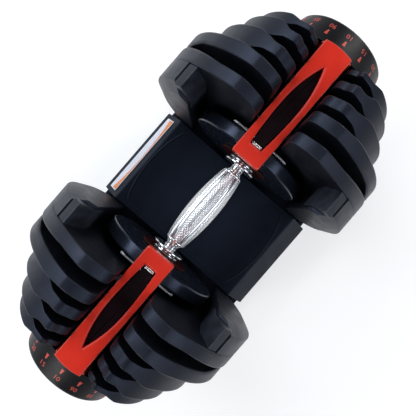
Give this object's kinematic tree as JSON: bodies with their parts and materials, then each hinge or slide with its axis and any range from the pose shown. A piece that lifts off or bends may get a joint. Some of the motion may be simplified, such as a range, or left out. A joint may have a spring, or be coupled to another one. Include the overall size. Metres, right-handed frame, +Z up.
{
  "type": "adjustable dumbbell",
  "caption": "Dial-adjustable dumbbell resting in its storage tray, with nested weight plates at each end and a chrome barrel grip.",
  "frame": {"origin": "on the floor, below the middle of the grip", "axes": "+X along the handle, +Y to the labelled side of the tray, +Z up"},
  "size_m": [0.43, 0.239, 0.241],
  "materials": {
    "plate_skin": "cast iron core in a moulded satin skin",
    "black_plastic": "moulded, fine grain",
    "dial_plastic": "moulded, red numbers",
    "tray_plastic": "moulded, fine grain",
    "red_plastic": "satin gloss",
    "chrome": "polished",
    "steel": "brushed",
    "rubber": "matt",
    "label_paper": "printed, satin"
  },
  "bodies": {
    "tray": {"tray_shell": "tray_plastic", "tray_label": "label_paper", "right_lock_post": "steel", "right_front_foot": "rubber", "right_rear_foot": "rubber", "left_lock_post": "steel", "left_front_foot": "rubber", "left_rear_foot": "rubber"},
    "handle": {"grip": "chrome", "shaft": "steel", "right_flange_ring": "chrome", "right_collar": "chrome", "right_guard_disc": "black_plastic", "right_side_plate": "steel", "right_bridge": "red_plastic", "right_window_insert": "black_plastic", "right_window_clip": "chrome", "right_end_screw": "steel", "right_lock_spring": "steel", "left_flange_ring": "chrome", "left_collar": "chrome", "left_guard_disc": "black_plastic", "left_side_plate": "steel", "left_bridge": "red_plastic", "left_window_insert": "black_plastic", "left_window_clip": "chrome", "left_end_screw": "steel", "left_lock_spring": "steel"},
    "right_dial": {"right_dial_drum": "dial_plastic", "right_dial_cap": "dial_plastic", "right_selector_sleeve": "steel", "right_selector_disc_1": "black_plastic", "right_selector_disc_2": "black_plastic", "right_selector_disc_3": "black_plastic", "right_selector_disc_4": "black_plastic", "right_selector_disc_5": "black_plastic"},
    "left_dial": {"left_dial_drum": "dial_plastic", "left_dial_cap": "dial_plastic", "left_selector_sleeve": "steel", "left_selector_disc_1": "black_plastic", "left_selector_disc_2": "black_plastic", "left_selector_disc_3": "black_plastic", "left_selector_disc_4": "black_plastic", "left_selector_disc_5": "black_plastic"},
    "right_lock": {"right_lock_pin": "steel"},
    "left_lock": {"left_lock_pin": "steel"},
    "right_plate_1": {"right_plate_1": "plate_skin"},
    "right_plate_2": {"right_plate_2": "plate_skin"},
    "right_plate_3": {"right_plate_3": "plate_skin"},
    "right_plate_4": {"right_plate_4": "plate_skin"},
    "right_plate_5": {"right_plate_5": "plate_skin"},
    "left_plate_1": {"left_plate_1": "plate_skin"},
    "left_plate_2": {"left_plate_2": "plate_skin"},
    "left_plate_3": {"left_plate_3": "plate_skin"},
    "left_plate_4": {"left_plate_4": "plate_skin"},
    "left_plate_5": {"left_plate_5": "plate_skin"}
  },
  "joints": [
    {"name": "handle_lift", "type": "slide", "parent": "tray", "child": "handle", "axis": [0, 0, 1], "range_m": [0, 0.25]},
    {"name": "right_dial_turn", "type": "hinge", "parent": "handle", "child": "right_dial", "pos_m": [0.2, 0, 0.1285], "axis": [-1, 0, 0], "continuous": true},
    {"name": "left_dial_turn", "type": "hinge", "parent": "handle", "child": "left_dial", "pos_m": [-0.2, 0, 0.1285], "axis": [1, 0, 0], "continuous": true},
    {"name": "right_lock_press", "type": "slide", "parent": "handle", "child": "right_lock", "axis": [0, 0, 1], "range_m": [0, 0.004], "stiffness_N_per_m": 600, "springref_m": -0.003, "deforming": ["right_lock_spring"]},
    {"name": "left_lock_press", "type": "slide", "parent": "handle", "child": "left_lock", "axis": [0, 0, 1], "range_m": [0, 0.004], "stiffness_N_per_m": 600, "springref_m": -0.003, "deforming": ["left_lock_spring"]},
    {"name": "right_plate_1_play", "type": "slide", "parent": "tray", "child": "right_plate_1", "axis": [0, 0, 1], "range_m": [0, 0.003]},
    {"name": "right_plate_2_play", "type": "slide", "parent": "tray", "child": "right_plate_2", "axis": [0, 0, 1], "range_m": [0, 0.003]},
    {"name": "right_plate_3_play", "type": "slide", "parent": "tray", "child": "right_plate_3", "axis": [0, 0, 1], "range_m": [0, 0.003]},
    {"name": "right_plate_4_play", "type": "slide", "parent": "tray", "child": "right_plate_4", "axis": [0, 0, 1], "range_m": [0, 0.003]},
    {"name": "right_plate_5_play", "type": "slide", "parent": "tray", "child": "right_plate_5", "axis": [0, 0, 1], "range_m": [0, 0.003]},
    {"name": "left_plate_1_play", "type": "slide", "parent": "tray", "child": "left_plate_1", "axis": [0, 0, 1], "range_m": [0, 0.003]},
    {"name": "left_plate_2_play", "type": "slide", "parent": "tray", "child": "left_plate_2", "axis": [0, 0, 1], "range_m": [0, 0.003]},
    {"name": "left_plate_3_play", "type": "slide", "parent": "tray", "child": "left_plate_3", "axis": [0, 0, 1], "range_m": [0, 0.003]},
    {"name": "left_plate_4_play", "type": "slide", "parent": "tray", "child": "left_plate_4", "axis": [0, 0, 1], "range_m": [0, 0.003]},
    {"name": "left_plate_5_play", "type": "slide", "parent": "tray", "child": "left_plate_5", "axis": [0, 0, 1], "range_m": [0, 0.003]}
  ]
}
